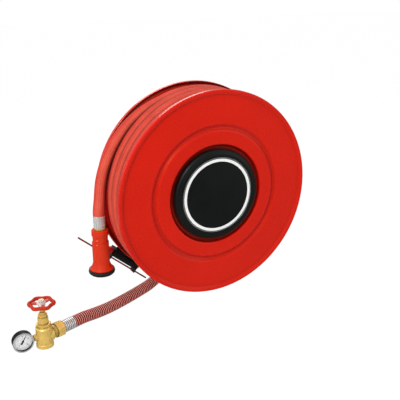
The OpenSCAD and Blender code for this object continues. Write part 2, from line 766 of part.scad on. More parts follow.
module ribbed_ferrule(l) {
    difference() {
        union() {
            cylinder(r = feed_r - 1.5, h = l);
            for (i = [0 : 5]) translate([0, 0, 1 + i * (l - 1) / 6]) cylinder(r = feed_r, h = (l - 1) / 10);
        }
        translate([0, 0, -1]) cylinder(r = axle_bore_r, h = l + 2);
    }
}
module feed_ferrule_top() { color(steel) translate([0, elbow_y, -feed_top]) ribbed_ferrule(feed_ferrule_l); }

feed_turn = atan2(feed_dir[1], feed_dir[0]);
// Local +Z runs along the hose towards the valve, from the elbow's axis
module toward_valve(s) {
    translate([s * feed_dir[0], elbow_y + s * feed_dir[1], -outlet_z])
        rotate([0, 0, feed_turn]) rotate([0, 90, 0]) children();
}
module feed_ferrule_end() { color(steel) toward_valve(feed_end) ribbed_ferrule(feed_ferrule_l); }
union_tail_r = 15.5;
neck_r = 18;                               // outlet neck of the valve and flange of the union's tail
gasket_t = 2;
union_seat = 7;                            // the nut bears this far from the face of the outlet
thread_d = 1.2;                            // depth and pitch of the rings that stand for the thread
thread_p = 3;
module union_tail() {
    from = feed_end + feed_ferrule_l;
    color(brass) toward_valve(from) difference() {
        union() {
            cylinder(r = union_tail_r, h = port_end - gasket_t - from);
            translate([0, 0, port_end - union_seat - from]) cylinder(r = neck_r, h = union_seat - gasket_t);
        }
        translate([0, 0, -1]) cylinder(r = axle_bore_r - 2, h = union_l + 2);
    }
}
module union_gasket() { color("#202020") toward_valve(port_end - gasket_t) tube(neck_r - 1, out_r, gasket_t); }
module union_nut() {
    from = port_end - union_l + 7;
    color(brass) toward_valve(from) difference() {
        intersection() {
            hex(union_r, union_l);
            rotate_extrude() polygon([
                [0, 0], [union_r - 3, 0], [union_r, 2], [union_r, union_l - 2],
                [union_r - 3, union_l], [0, union_l]
            ]);
        }
        translate([0, 0, -1]) cylinder(r = union_tail_r + loose, h = union_l + 2);
        translate([0, 0, port_end - union_seat - from]) cylinder(r = neck_r + 0.5, h = union_l);
    }
}

// ---------------------------------------------------------------- valve

out_r = 12;
chamber_r = 17;
seat_r = 11;
seat_z = -valve_low + inlet_l;             // underside of the seat, from the outlet's axis
seat_t = 3;
plug_l = 8;                                // thread of the bonnet in the body
disc_t = 7;
washer_t = 3;
module at_valve(z = 0) { translate([-valve_x, -valve_y, z - outlet_z]) children(); }
module out_port() { rotate([0, 0, feed_turn + 180]) rotate([0, 90, 0]) children(); }
module valve_body() {
    color(brass) at_valve() difference() {
        union() {
            rotate_extrude() polygon([
                [0, -valve_low], [valve_r + 1.5, -valve_low], [valve_r + 1.5, 8 - valve_low],
                [valve_r, 11 - valve_low], [valve_r, valve_up - 6], [valve_r - 2, valve_up - 3],
                [valve_r - 2, valve_up], [0, valve_up]
            ]);
            out_port() cylinder(r = neck_r - thread_d, h = valve_r + port_l);
            for (i = [0 : 5]) out_port() translate([0, 0, valve_r + port_l - 2.6 - i * thread_p])
                cylinder(r = neck_r, h = thread_p * 0.6);
            out_port() cylinder(r = neck_r + 3, h = valve_r - 1);
            translate([0, 0, -gauge_z]) rotate([0, -90, 0]) cylinder(r = 10, h = valve_r + 3);
        }
        translate([0, 0, -valve_low - 1]) cylinder(r = inlet_r, h = inlet_l + 1);
        translate([0, 0, seat_z - 1]) cylinder(r = seat_r, h = seat_t + 2);
        translate([0, 0, seat_z + seat_t]) cylinder(r = chamber_r, h = valve_up + valve_low);
        out_port() cylinder(r = out_r, h = 90);
        translate([0, 0, -gauge_z]) rotate([0, -90, 0]) cylinder(r = 4.5, h = 90, $fn = 32);
    }
}
module valve_bonnet() {
    color(brass) at_valve(valve_up) difference() {
        union() {
            translate([0, 0, -plug_l]) cylinder(r = chamber_r, h = plug_l);
            hex(chamber_r + 4, 8);
            translate([0, 0, 8]) cylinder(r = bonnet_r, h = bonnet_h - 10);
            translate([0, 0, bonnet_h - 2]) cylinder(r = bonnet_r - 2, h = 2);
        }
        translate([0, 0, -plug_l - 1]) cylinder(r = stem_r + run_gap, h = bonnet_h + plug_l + 2);
        translate([0, 0, bonnet_h - 8]) cylinder(r = stem_r + 3.5, h = 9);
    }
}
module gland_packing() {
    color("#d9d6c8") at_valve(valve_up + bonnet_h - 8) tube(stem_r + 3.5, stem_r + run_gap, 8);
}
module gland_nut() {
    color(brass) at_valve(valve_up + bonnet_h) difference() {
        union() {
            hex(bonnet_r - 1.5, gland_h * 0.55);
            cylinder(r1 = bonnet_r - 3, r2 = stem_r + 2.5, h = gland_h, $fn = 48);
        }
        translate([0, 0, -1]) cylinder(r = stem_r + run_gap, h = gland_h + 2);
    }
}
disc_z = seat_z + seat_t;
module disc_washer() { color("#202020") at_valve(disc_z) cylinder(r = 14, h = washer_t); }
module valve_disc() {
    color(brass) at_valve(disc_z + washer_t) difference() {
        union() {
            cylinder(r = 15, h = disc_t - washer_t);
            cylinder(r = 11, h = disc_t + 6 - washer_t);
        }
        translate([0, 0, disc_t - washer_t]) cylinder(r = stem_r + run_gap, h = 20);
    }
}
module valve_stem() {
    from = disc_z + disc_t + loose;
    color("#c9b27a") at_valve() {
        translate([0, 0, from]) cylinder(r = stem_r, h = wheel_z - hub_h / 2 - from);
        translate([0, 0, wheel_z - hub_h / 2 - 1])
            cylinder(r = stem_r - 2, h = hub_h + wheel_nut_h + 2, $fn = 32);
    }
}
hub_h = 12;                                // height of the handwheel's hub
wheel_nut_h = 5;
wheel_rings = 72;
wheel_sides = 8;
lobe_at = 40;                              // direction of a lobe with the valve closed
function wheel_ring(i) =
    let (a = i * 360 / wheel_rings, r = wheel_r + lobe * cos(lobes * (a - lobe_at)))
    [for (j = [0 : wheel_sides - 1])
        let (b = j * 360 / wheel_sides, q = r + wheel_t * cos(b))
        [q * cos(a), q * sin(a), wheel_h * sin(b)]];
module handwheel() {
    rows = [for (i = [0 : wheel_rings - 1]) wheel_ring(i)];
    n = wheel_rings * wheel_sides;
    faces = [for (f = side_faces(wheel_rings + 1, wheel_sides, true)) [for (v = f) v % n]];
    color("#d02a1a") at_valve(wheel_z) {
        difference() {
            union() {
                cylinder(r = 10, h = hub_h, center = true);
                for (i = [0 : 2]) rotate([0, 0, 30 + i * 120]) translate([0, -4, -3])
                    cube([wheel_r + 1, 8, 5]);
            }
            cylinder(r = stem_r - 2 + eps, h = 30, center = true, $fn = 32);
        }
        polyhedron(points = [for (r = rows, p = r) p], faces = faces, convexity = 6);
    }
}
module wheel_nut() {
    color("#d7d8da") at_valve(wheel_z + hub_h / 2) difference() {
        hex(8, wheel_nut_h);
        translate([0, 0, -1]) cylinder(r = stem_r - 2 + eps, h = wheel_nut_h + 2, $fn = 32);
    }
}

// ---------------------------------------------------------------- gauge

bezel_w = 3;
dial_in = 5;                               // the dial lies this far behind the bezel
lens_t = 2;
module at_gauge(y = 0) {
    translate([-valve_x - gauge_x, -valve_y - gauge_d / 2 + y, -outlet_z - gauge_z])
        rotate([-90, 0, 0]) children();
}
module gauge_stub() {
    from = valve_r + 3;
    to = gauge_x - gauge_r + 2;
    color(brass) at_valve(-gauge_z) rotate([0, -90, 0]) difference() {
        union() {
            translate([0, 0, from]) cylinder(r = stub_r, h = to - from);
            translate([0, 0, from]) hex(stub_r + 3, 4);
            translate([0, 0, valve_r - 4]) cylinder(r = 4.5, h = 8, $fn = 32);
        }
        translate([0, 0, 0]) cylinder(r = 2, h = 60, $fn = 24);
    }
}
module gauge_case() {
    color("#17181a") at_gauge(4) difference() {
        rotate_extrude() polygon([
            [0, 0], [gauge_r - 1, 0], [gauge_r - 1, gauge_d - 8], [gauge_r - 5, gauge_d - 4], [0, gauge_d - 4]
        ]);
        translate([0, 0, -1]) cylinder(r = gauge_r - bezel_w, h = dial_in + 3);
        translate([gauge_r - 2, 0, gauge_d / 2 - 4]) rotate([0, 90, 0]) cylinder(r = stub_r, h = 10);
    }
}
module gauge_bezel() {
    color("#3a3c3f") at_gauge() rotate_extrude() polygon([
        [gauge_r - bezel_w - 1, 0], [gauge_r - 1, 0], [gauge_r, 1], [gauge_r, 4],
        [gauge_r - bezel_w - 1, 4]
    ]);
}
module gauge_dial() {
    color("#f5f5f3") at_gauge(4 + dial_in + 1) difference() {
        cylinder(r = gauge_r - bezel_w, h = 1);
        translate([0, 0, -1]) cylinder(r = 1.2, h = 3, $fn = 24);
    }
}
needle_dir = 58;                           // the needle's rest direction, above +X
module gauge_needle() {
    color("#101010") at_gauge(4 + dial_in - 1) {
        cylinder(r = 3, h = 1.2, $fn = 32);
        cylinder(r = 1.15, h = 2.6, $fn = 24);
        rotate([0, 0, -needle_dir]) linear_extrude(0.8)
            polygon([
                [-9, -2.6], [-9, 2.6], [-4, 2.2], [0, 1.2],
                [gauge_r - 8, 0.4], [gauge_r - 8, -0.4], [0, -1.2], [-4, -2.2]
            ]);
    }
}
module gauge_lens() {
    color("#dfe8ea", 0.35) at_gauge(4) translate([0, 0, 0.2])
        cylinder(r = gauge_r - bezel_w, h = lens_t);
}

wall_plate();
bracket();
axle();
axle_screws();
axle_washer();
axle_circlip();
inlet_elbow();
front_flange();
rear_flange();
drum_core();
hub_body();
hub_outlet();
bush_front();
bush_rear();
hub_seals();
tie_bolts();
tie_nuts();
hub_cap();
cap_ring();
hose_core();
hose_winding();
hose_tail();
hose_ferrule();
nozzle_tail();
nozzle_seal();
nozzle_body();
nozzle_barrel();
nozzle_bumper();
guide_arm();
guide_rod();
guide_roller();
roller_pin();
roller_ball();
feed_hose();
feed_ferrule_top();
feed_ferrule_end();
union_tail();
union_nut();
union_gasket();
valve_body();
valve_bonnet();
gland_nut();
gland_packing();
valve_disc();
disc_washer();
valve_stem();
handwheel();
wheel_nut();
gauge_stub();
gauge_case();
gauge_bezel();
gauge_dial();
gauge_needle();
gauge_lens();
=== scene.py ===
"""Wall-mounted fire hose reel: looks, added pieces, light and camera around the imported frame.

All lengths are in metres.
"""
import math
import bmesh
import bpy
from mathutils import Matrix, Vector


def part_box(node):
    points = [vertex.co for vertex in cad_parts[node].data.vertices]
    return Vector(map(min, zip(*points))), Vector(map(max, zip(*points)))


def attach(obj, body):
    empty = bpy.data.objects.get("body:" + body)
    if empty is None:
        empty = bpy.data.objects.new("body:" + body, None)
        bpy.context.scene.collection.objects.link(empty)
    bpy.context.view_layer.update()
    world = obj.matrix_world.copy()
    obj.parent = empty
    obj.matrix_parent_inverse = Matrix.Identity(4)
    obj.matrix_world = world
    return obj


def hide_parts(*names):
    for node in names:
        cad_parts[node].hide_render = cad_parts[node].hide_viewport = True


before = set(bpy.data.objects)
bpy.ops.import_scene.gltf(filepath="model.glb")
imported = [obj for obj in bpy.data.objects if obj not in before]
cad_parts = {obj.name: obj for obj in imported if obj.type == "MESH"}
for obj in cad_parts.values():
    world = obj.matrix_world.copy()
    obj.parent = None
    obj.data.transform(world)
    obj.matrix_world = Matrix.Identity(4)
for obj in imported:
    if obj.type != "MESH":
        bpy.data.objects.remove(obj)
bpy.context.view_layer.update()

MM = 0.001
TAU = 2 * math.pi
WHITE = (1, 1, 1, 1)

# ---------------------------------------------------------------- camera

EYE = Vector((-0.87568, -1.79096, 0.60674))
LOOK = Vector((0.44835, 0.82869, -0.33506))
LENS = 58.5

camera_data = bpy.data.cameras.new("camera")
camera_data.lens = LENS
camera_data.sensor_width = 36.0
camera_data.clip_start = 0.05
camera = bpy.data.objects.new("camera", camera_data)
camera.location = EYE
camera.rotation_mode = "QUATERNION"
camera.rotation_quaternion = LOOK.to_track_quat("-Z", "Y")
bpy.context.scene.collection.objects.link(camera)
bpy.context.scene.camera = camera

# ---------------------------------------------------------------- shared measures

# Directions round the drum are in degrees, anticlockwise from the right as seen from the front.
FRONT_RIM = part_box("front_flange")[0].y
REAR_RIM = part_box("rear_flange")[1].y
HOSE_R = 17 * MM
WIND_R = 277 * MM                 # middle radius of the outer layer
LANES = 4                         # places of the outer layer side by side
LANE_AIR = 1.5 * MM
LANE_PITCH = 2 * HOSE_R + LANE_AIR
LANE_FRONT = FRONT_RIM + 27 * MM
LANE_REAR = LANE_FRONT + (LANES - 1) * LANE_PITCH
TAIL_X = -315 * MM                # where the hanging end comes down
TAIL_DROP = 43 * MM               # how far below the drum's axis its ferrule begins
TAIL_LEAN = 15 * MM               # how far it leans towards the front
VALVE_X, VALVE_Y = -510 * MM, -216 * MM
GAUGE_X, GAUGE_Z = -570 * MM, -343 * MM

# ---------------------------------------------------------------- node helpers


def new_material(name):
    material = bpy.data.materials.new(name)
    material.use_nodes = True
    tree = material.node_tree
    return material, tree, tree.nodes["Principled BSDF"]


def put(tree, socket, value):
    """Sets a socket, or links it where value is the output of another node."""
    if isinstance(value, bpy.types.NodeSocket):
        tree.links.new(value, socket)
    else:
        socket.default_value = value


def add(tree, kind, **values):
    """A node with its properties set by attribute and its inputs by name."""
    node = tree.nodes.new(kind)
    for key, value in values.items():
        if hasattr(node, key):
            setattr(node, key, value)
        else:
            put(tree, node.inputs[key.replace("_", " ")], value)
    return node


def settle(bsdf, **values):
    """Constants set directly on the shader's sockets."""
    for key, value in values.items():
        bsdf.inputs[key.replace("_", " ")].default_value = value


def grey(value):
    return (value, value, value, 1)


def shade(colour, factor):
    return tuple(min(1.0, c * factor) for c in colour[:3]) + (1.0,)


def srgb(red, green, blue):
    """Linear colour of an sRGB triple from 0 to 255."""
    return tuple(((v / 255 + 0.055) / 1.055) ** 2.4 if v > 10 else v / 255 / 12.92
                 for v in (red, green, blue)) + (1.0,)


def maths(tree, operation, *values):
    node = add(tree, "ShaderNodeMath", operation=operation)
    for socket, value in zip(node.inputs, values):
        put(tree, socket, value)
    return node.outputs[0]


def vector_maths(tree, operation, output, *values):
    node = add(tree, "ShaderNodeVectorMath", operation=operation)
    for socket, value in zip(node.inputs, values):
        put(tree, socket, value)
    return node.outputs[output]


def components(tree, vector):
    return add(tree, "ShaderNodeSeparateXYZ", Vector=vector).outputs


def noise(tree, coords, scale, detail=3.0):
    return add(tree, "ShaderNodeTexNoise", Scale=scale, Detail=detail, Vector=coords).outputs["Fac"]


def wave(tree, vector, period, direction):
    """Bands across one axis of a vector, from 0 to 1, one period apart."""
    return add(tree, "ShaderNodeTexWave", bands_direction=direction, Scale=TAU / period / 20.0,
               Vector=vector).outputs["Fac"]


def ramp(tree, factor, low, high, stops=(0.3, 0.7)):
    node = add(tree, "ShaderNodeValToRGB", Fac=factor)
    for element, stop, colour in zip(node.color_ramp.elements, stops, (low, high)):
        element.position = stop
        element.color = colour
    return node.outputs["Color"]


def grade(tree, factor, low, high, start=0.0, end=1.0):
    """A number that runs from low to high while the factor runs from start to end."""
    return add(tree, "ShaderNodeMapRange", Value=factor, From_Min=start, From_Max=end,
               To_Min=low, To_Max=high).outputs["Result"]


def blend(tree, kind, low, high, factor=1.0):
    node = tree.nodes.new("ShaderNodeMix")
    node.data_type = "RGBA"
    node.blend_type = kind
    for socket, value in (("Factor", factor), ("A", low), ("B", high)):
        put(tree, node.inputs[socket], value)
    return node.outputs["Result"]


def mix_shaders(tree, factor, low, high):
    node = tree.nodes.new("ShaderNodeMixShader")
    for socket, value in zip(node.inputs, (factor, low, high)):
        put(tree, socket, value)
    return node.outputs[0]


def bump(tree, bsdf, height, distance, strength=0.6):
    node = add(tree, "ShaderNodeBump", Strength=strength, Distance=distance, Height=height)
    tree.links.new(node.outputs["Normal"], bsdf.inputs["Normal"])


def crevices(tree, colour, corner_shade, reach):
    """Darkens a colour in corners and grooves narrower than reach: painted shade."""
    corner = add(tree, "ShaderNodeAmbientOcclusion", samples=8, Distance=reach)
    dark = ramp(tree, corner.outputs["AO"], grey(1 - corner_shade), WHITE, (0.45, 0.97))
    return blend(tree, "MULTIPLY", colour, dark)


# ---------------------------------------------------------------- materials


def finish_material(name, colour, rough, vary=0.08, patch=14.0, grain=900.0, depth=0.02,
                    metallic=0.0, coat=0.0, specular=0.5, corner_shade=0.0, reach=4 * MM, painted_glow=0.0,
                    tint=WHITE):
    """Painted, moulded or cast surface: patches of tone, fine grain, uneven gloss, painted shade in
    corners and grooves, and a painted glow where asked.
    """
    material, tree, bsdf = new_material(name)
    coords = tree.nodes.new("ShaderNodeTexCoord").outputs["Object"]
    patches = noise(tree, coords, patch)
    tone = ramp(tree, patches, shade(colour, 1 - vary), shade(colour, 1 + vary))
    # Painted shade: the tone is darkened in corners and grooves.
    if corner_shade:
        tone = crevices(tree, tone, corner_shade, reach)
    tree.links.new(tone, bsdf.inputs["Base Color"])
    fine = noise(tree, coords, grain, 2.0)
    gloss = grade(tree, fine, rough * 0.85, min(1.0, rough * 1.15))
    tree.links.new(gloss, bsdf.inputs["Roughness"])
    bump(tree, bsdf, fine, depth * MM)
    # The emission strength is a painted glow, not light from a lamp.
    settle(bsdf, Metallic=metallic, Coat_Weight=coat, Coat_Roughness=0.07,
           Specular_IOR_Level=specular, Specular_Tint=tint, Emission_Color=colour,
           Emission_Strength=painted_glow)
    return material


def bezel_material(name, side, lip):
    """Black gauge ring whose front lip is worn to bare metal."""
    material, tree, bsdf = new_material(name)
    coords = tree.nodes.new("ShaderNodeTexCoord")
    ahead = maths(tree, "ABSOLUTE", components(tree, coords.outputs["Normal"])["Y"])
    worn = ramp(tree, ahead, side, lip, (0.35, 0.75))
    speck = ramp(tree, noise(tree, coords.outputs["Object"], 400.0), grey(0.8), WHITE)
    tree.links.new(blend(tree, "MULTIPLY", worn, speck), bsdf.inputs["Base Color"])
    settle(bsdf, Roughness=0.35, Specular_IOR_Level=0.3)
    return material


def woven_material(name, deep, colour, pale):
    """Rubbed-on fabric hose with pale bands along it, partly its weave and partly painted
    highlight, and painted shade between the turns: UVs run in metres along and round the hose.
    """
    girth, thread = TAU * HOSE_R, 2.6 * MM
    material, tree, bsdf = new_material(name)
    coords = tree.nodes.new("ShaderNodeTexCoord")
    uv, place = coords.outputs["UV"], coords.outputs["Object"]
    speckle = noise(tree, place, 420.0, 4.0)
    threads = wave(tree, uv, thread, "X")
    # Three pale bands along the hose: partly the weave's look, partly painted highlight.
    pale_bands_and_sheen = ramp(tree, wave(tree, uv, girth / 3, "Y"), colour, pale, (0.25, 0.75))
    cloth = blend(tree, "MIX", pale_bands_and_sheen, ramp(tree, speckle, deep, pale, (0.3, 0.72)), 0.4)
    lines = wave(tree, uv, girth / 18, "Y")
    patches = noise(tree, place, 26.0)
    for pattern, dark, stops in ((threads, (0.86, 0.82, 0.82, 1), (0.05, 0.5)),
                                 (lines, (0.74, 0.64, 0.64, 1), (0.0, 0.18)),
                                 (patches, (0.84, 0.78, 0.78, 1), (0.3, 0.7))):
        cloth = blend(tree, "MULTIPLY", cloth, ramp(tree, pattern, dark, WHITE, stops))
    # Painted shade between the turns and in the creases of the hose.
    tree.links.new(crevices(tree, cloth, 0.75, 14 * MM), bsdf.inputs["Base Color"])
    tree.links.new(grade(tree, speckle, 0.6, 0.85), bsdf.inputs["Roughness"])
    bump(tree, bsdf, maths(tree, "ADD", speckle, threads), 0.25 * MM, 0.7)
    settle(bsdf, Specular_IOR_Level=0.12, Sheen_Weight=0.04)
    return material


def crimped_material(name, colour):
    """Plated ferrule with the marks of the crimping jaws pressed into it; painted shade darkens the
    grooves between the marks.
    """
    material, tree, bsdf = new_material(name)
    coords = tree.nodes.new("ShaderNodeTexCoord").outputs["Object"]
    place = components(tree, coords)
    flat = add(tree, "ShaderNodeCombineXYZ", X=place["X"], Y=place["Z"])
    # The mortar lines are the grooves of the crimp marks, darkened as painted shade.
    grid = add(tree, "ShaderNodeTexBrick", offset=0.0, Scale=1.0, Mortar_Size=0.4 * MM,
               Brick_Width=4.2 * MM, Row_Height=3.4 * MM, Vector=flat.outputs[0],
               Color1=shade(colour, 1.0), Color2=shade(colour, 0.86), Mortar=shade(colour, 0.45))
    tree.links.new(grid.outputs["Color"], bsdf.inputs["Base Color"])
    tree.links.new(grade(tree, noise(tree, coords, 300.0), 0.25, 0.45), bsdf.inputs["Roughness"])
    bump(tree, bsdf, grid.outputs["Fac"], -0.2 * MM, 0.8)
    settle(bsdf, Metallic=0.5)
    return material


def wheel_material(name, rim, hub, centre, hub_r):
    """Enamelled handwheel whose hub is bare metal, out to hub_r from the upright through centre."""
    material, tree, bsdf = new_material(name)
    coords = tree.nodes.new("ShaderNodeTexCoord").outputs["Object"]
    moved = vector_maths(tree, "SUBTRACT", "Vector", coords, centre)
    level = vector_maths(tree, "MULTIPLY", "Vector", moved, (1, 1, 0))
    radius = vector_maths(tree, "LENGTH", "Value", level)
    paint = ramp(tree, noise(tree, coords, 60.0), shade(rim, 0.9), shade(rim, 1.1))
    two = blend(tree, "MIX", hub, paint, maths(tree, "GREATER_THAN", radius, hub_r))
    # Painted shade in the wheel's corners, between hub, spokes and rim.
    tree.links.new(crevices(tree, two, 0.5, 3 * MM), bsdf.inputs["Base Color"])
    tree.links.new(grade(tree, noise(tree, coords, 500.0), 0.28, 0.4), bsdf.inputs["Roughness"])
    settle(bsdf, Specular_IOR_Level=0.25, Coat_Weight=0.15)
    return material


def glass_material(name):
    """Clear gauge window: mostly lets light through, with a gloss that grows at a slant."""
    material, tree, _ = new_material(name)
    tree.nodes.clear()
    clear = add(tree, "ShaderNodeBsdfTransparent").outputs[0]
    gloss = add(tree, "ShaderNodeBsdfGlossy", Roughness=0.04).outputs[0]
    slant = add(tree, "ShaderNodeFresnel", IOR=1.35).outputs[0]
    add(tree, "ShaderNodeOutputMaterial", Surface=mix_shaders(tree, slant, clear, gloss))
    return material


# In the finishes below, the darkening of corners and grooves is painted shade.
PAINT = finish_material("red_gloss_paint", srgb(212, 24, 14), 0.28, vary=0.04, patch=6.0,
                        grain=260.0, depth=0.03, coat=0.22, corner_shade=0.95, reach=16 * MM,
                        tint=(1.0, 0.3, 0.08, 1.0))
AXLE = finish_material("machined_axle", srgb(150, 152, 156), 0.35, metallic=1.0)
STEEL = finish_material("plated_steel", srgb(236, 236, 234), 0.3, vary=0.06, patch=120.0,
                        metallic=0.45, corner_shade=0.9, reach=3.5 * MM)
CRIMPED = crimped_material("crimped_ferrule", srgb(252, 250, 248))
BRASS = finish_material("cast_brass", srgb(248, 208, 112), 0.34, vary=0.08, patch=60.0,
                        grain=1100.0, depth=0.06, metallic=0.35, corner_shade=0.75, reach=6 * MM)
BUSH = finish_material("bush_plastic", srgb(230, 225, 210), 0.5)
RUBBER = finish_material("black_rubber", srgb(24, 27, 28), 0.5, vary=0.2, grain=700.0,
                         depth=0.06, specular=0.35)
PACKING = finish_material("packing_cord", srgb(210, 204, 188), 0.8, grain=500.0, depth=0.2)
CAP_BLACK = finish_material("black_moulding", srgb(17, 21, 19), 0.3, vary=0.25, patch=9.0,
                            grain=500.0, specular=0.2)
PRINT = finish_material("white_print", srgb(246, 246, 244), 0.5, vary=0.02)
GREY_PRINT = finish_material("grey_print", srgb(150, 154, 152), 0.5, vary=0.05)
NOZZLE_RED = finish_material("nozzle_moulding", srgb(212, 48, 14), 0.38, vary=0.05, patch=30.0,
                             grain=600.0, depth=0.04, specular=0.2, corner_shade=0.7)
MARK = finish_material("index_mark", srgb(250, 150, 104), 0.45, vary=0.03)
BLACK_STEEL = finish_material("black_steel", srgb(18, 18, 19), 0.4, vary=0.2, specular=0.3)
ROD = finish_material("red_brown_rod", srgb(126, 44, 34), 0.4, vary=0.15, patch=60.0)
BALL = finish_material("red_ball", srgb(190, 16, 20), 0.22)
WHEEL = wheel_material("red_enamel", srgb(194, 46, 14), srgb(226, 220, 214),
                       (VALVE_X, VALVE_Y, 0.0), 13 * MM)
WHEEL_NUT = finish_material("pale_nut", srgb(222, 216, 210), 0.35, vary=0.1, patch=90.0, corner_shade=0.6)
GAUGE_BLACK = finish_material("gauge_case_black", srgb(12, 12, 14), 0.45, vary=0.15, specular=0.15)
BEZEL = bezel_material("gauge_bezel", srgb(14, 16, 16), srgb(176, 178, 178))
# The dial's small emission is a painted glow standing in for light bounced into the gauge case.
DIAL = finish_material("dial_white", srgb(250, 250, 249), 0.5, vary=0.02, painted_glow=0.35)
INK = finish_material("dial_ink", srgb(14, 14, 16), 0.5)
GLASS = glass_material("gauge_glass")
WEAVE = woven_material("hose_weave", srgb(196, 42, 30), srgb(226, 66, 48), srgb(242, 106, 84))
# Painted light on the ribbed hose: a pale painted highlight on the crests, near-black painted shade
# in the valleys, and the hose's own red on the flanks.
CREST_HIGHLIGHT = finish_material("feed_hose_crest_highlight", srgb(252, 164, 146), 0.4, vary=0.06, patch=80.0)
RIB_FLANK = finish_material("feed_hose_flank", srgb(176, 24, 28), 0.42, vary=0.12, patch=60.0)
VALLEY_SHADE = finish_material("feed_hose_valley_shade", srgb(44, 3, 6), 0.6, vary=0.15, patch=60.0)

# ---------------------------------------------------------------- mesh helpers


def link(name, data, materials, body, stands_for=()):
    """Puts a mesh or curve into the scene on a body, in place of the nodes it stands for."""
    for material in materials:
        data.materials.append(material)
    obj = bpy.data.objects.new(name, data)
    bpy.context.scene.collection.objects.link(obj)
    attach(obj, body)
    if stands_for:
        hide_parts(*stands_for)
    return obj


def skin(rows, loop=False):
    """A closed surface over equal rings of points with UVs in metres.

    Its ends are capped, or joined to each other where loop is set.
    """
    mesh = bmesh.new()
    uv = mesh.loops.layers.uv.new("UVMap")
    rings = [[mesh.verts.new(p) for p in row] for row in rows]
    sides = len(rows[0])
    along = [0.0]
    for a, b in zip(rows, rows[1:] + rows[:1]):
        along.append(along[-1] + (Vector(b[0]) - Vector(a[0])).length)
    round_step = (Vector(rows[0][1]) - Vector(rows[0][0])).length
    spans = len(rows) if loop else len(rows) - 1
    for i in range(spans):
        k = (i + 1) % len(rows)
        for j in range(sides):
            m = (j + 1) % sides
            face = mesh.faces.new((rings[i][j], rings[k][j], rings[k][m], rings[i][m]))
            corners = ((along[i], j), (along[i + 1], j), (along[i + 1], j + 1), (along[i], j + 1))
            for corner, (u, v) in zip(face.loops, corners):
                corner[uv].uv = (u, v * round_step)
    if not loop:
        mesh.faces.new(list(reversed(rings[0])))
        mesh.faces.new(rings[-1])
    return mesh


def to_mesh(name, made, sharp=40.0):
    bmesh.ops.recalc_face_normals(made, faces=made.faces)
    mesh = bpy.data.meshes.new(name)
    made.to_mesh(mesh)
    made.free()
    mesh.polygons.foreach_set("use_smooth", [True] * len(mesh.polygons))
    mesh.set_sharp_from_angle(angle=math.radians(sharp))
    return mesh


def facing(origin, direction):
    """Matrix whose local Z runs along direction from origin."""
    turn = Vector(direction).to_track_quat("Z", "Y").to_matrix().to_4x4()
    return Matrix.Translation(origin) @ turn


def lathe(profile, place, sides):
    """A closed (radius, height) outline turned round the local Z of the matrix place."""
    return skin([[place @ Vector((r * math.cos(TAU * j / sides), r * math.sin(TAU * j / sides), h))
                  for j in range(sides)] for r, h in profile], loop=True)


def tangents(path):
    ends = [(path[max(i - 1, 0)], path[min(i + 1, len(path) - 1)]) for i in range(len(path))]
    return [(b - a).normalized() for a, b in ends]


def sweep(path, radii, sides, side):
    """Rings of round section along a path that lies in the plane whose normal is side."""
    rows = []
    for p, t, r in zip(path, tangents(path), radii):
        up = t.cross(side)
        rows.append([p + r * (math.cos(TAU * j / sides) * up + math.sin(TAU * j / sides) * side)
                     for j in range(sides)])
    return rows


def smooth_path(points, step):
    """Points on a smooth curve through the given ones, about step apart."""
    slopes = tangents(points)
    made = [points[0]]
    for a, b, u, v in zip(points, points[1:], slopes, slopes[1:]):
        span = (b - a).length
        count = max(1, round(span / step))
        for i in range(1, count + 1):
            t = i / count
            made.append((2 * t**3 - 3 * t**2 + 1) * a + (t**3 - 2 * t**2 + t) * span * u
                        + (3 * t**2 - 2 * t**3) * b + (t**3 - t**2) * span * v)
    return made


def length_of(path):
    return sum((b - a).length for a, b in zip(path, path[1:]))


def even_path(path, count):
    """count + 1 points at even steps along a path."""
    total, done, made, seen = length_of(path), 0.0, [path[0]], 1
    for a, b in zip(path, path[1:]):
        span = (b - a).length
        while seen <= count and done + span >= total * seen / count - 1e-9:
            made.append(a.lerp(b, (total * seen / count - done) / span))
            seen += 1
        done += span
    return made


def ease(t):
    t = min(1.0, max(0.0, t))
    return t * t * (3 - 2 * t)


# ---------------------------------------------------------------- hanging end of the hose, a cord

HOSE_SIDES = 28
SQUARED = 2.5                     # exponent of a pressed section, where 2 is round
FLATTENED = 0.03                  # share by which a pressed section is lower
PRESSED_FOR = 90 * MM             # the hanging end is round again this far from the turns
TAIL_PLAY = 0.05 * MM             # keeps it inside the CAD's tail
TAIL_STEP = 5 * MM
TAIL_OUT = -TAIL_X - WIND_R       # how far out it swings from the turns
TAIL_FROM = 110                   # direction of its first point, just inside the turns' end
TAIL_EVERY = 10                   # degrees between the points that lift off
TAIL_SHARES = [0, 0.1, 0.28, 0.46, 0.57, 0.68, 0.77, 0.86]      # how far out each has come
TAIL_LOW = [(0.94, 0.4), (1, 0.8), (1, 1)]                      # share out, share of the drop


def tail_point(x, z, share):
    return Vector((x, LANE_REAR - share * TAIL_LEAN, z))


def tail_points():
    made = []
    for i, share in enumerate(TAIL_SHARES):
        angle = math.radians(TAIL_FROM + TAIL_EVERY * i)
        r = WIND_R + share * TAIL_OUT
        made.append(tail_point(r * math.cos(angle), r * math.sin(angle), share))
    return made + [tail_point(-WIND_R - share * TAIL_OUT, -drop * TAIL_DROP, share)
                   for share, drop in TAIL_LOW]


def pressed_ring(p, t, out, press, radius=HOSE_R):
    """Section of the hose across direction t; its neighbours square a pressed one off a little."""
    out = (out - t * t.dot(out)).normalized()
    across = t.cross(out)
    row = []
    for j in range(HOSE_SIDES):
        c, s = math.cos(TAU * j / HOSE_SIDES), math.sin(TAU * j / HOSE_SIDES)
        square = (abs(c) ** SQUARED + abs(s) ** SQUARED) ** (-1 / SQUARED)
        wide = radius * (1 + (square - 1) * press)
        row.append(p + wide * (c * out * (1 - FLATTENED * press) + s * across))
    return row


